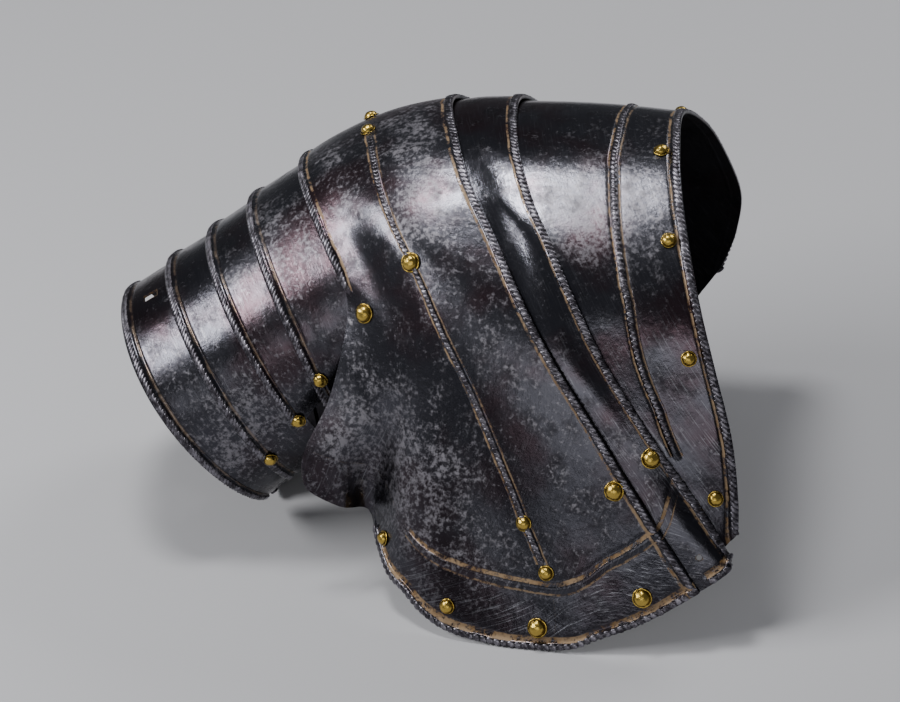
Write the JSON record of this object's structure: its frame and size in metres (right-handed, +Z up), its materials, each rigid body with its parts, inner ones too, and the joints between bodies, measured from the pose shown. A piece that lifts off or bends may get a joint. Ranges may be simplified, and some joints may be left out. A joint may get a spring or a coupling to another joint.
{
  "type": "pauldron",
  "caption": "Articulated shoulder defence of blackened steel: a ridged main plate with a large wing, overlapping lames over the upper arm and towards the neck, roped edges and brass rivets",
  "frame": {"origin": "middle of the bounding box in X and Y, at its bottom", "axes": "+X from the arm end towards the neck end, +Y towards the small far wing, +Z up as it rests on three low points"},
  "size_m": [0.3316, 0.2578, 0.2059],
  "materials": {
    "steel": "blackened and polished, with patina and worn bright spots",
    "brass": "polished, lightly dented"
  },
  "bodies": {
    "root": {"arm_lame_1": "steel", "arm_lame_2": "steel", "arm_lame_3": "steel", "arm_lame_4": "steel", "main_plate": "steel", "neck_lame_1": "steel", "neck_lame_2": "steel", "arm_pivot_1_far": "brass", "arm_pivot_1_near": "brass", "arm_pivot_2_far": "brass", "arm_pivot_2_near": "brass", "arm_pivot_3_far": "brass", "arm_pivot_3_near": "brass", "arm_pivot_4_far": "brass", "arm_pivot_4_near": "brass", "cord_rivet_1": "brass", "cord_rivet_2": "brass", "cord_rivet_3": "brass", "cord_rivet_4": "brass", "crest_rivet_1": "brass", "crest_rivet_2": "brass", "neck_pivot_1_far": "brass", "neck_pivot_1_near": "brass", "neck_pivot_2_far": "brass", "neck_pivot_2_near": "brass", "neck_rivet_1": "brass", "neck_rivet_2": "brass", "neck_rivet_3": "brass", "neck_rivet_4": "brass", "neck_rivet_5": "brass", "neck_rivet_6": "brass", "neck_rivet_7": "brass", "wing_rivet_1": "brass", "wing_rivet_2": "brass", "wing_rivet_3": "brass", "wing_rivet_4": "brass", "wing_rivet_5": "brass", "wing_rivet_6": "brass"}
  },
  "joints": []
}
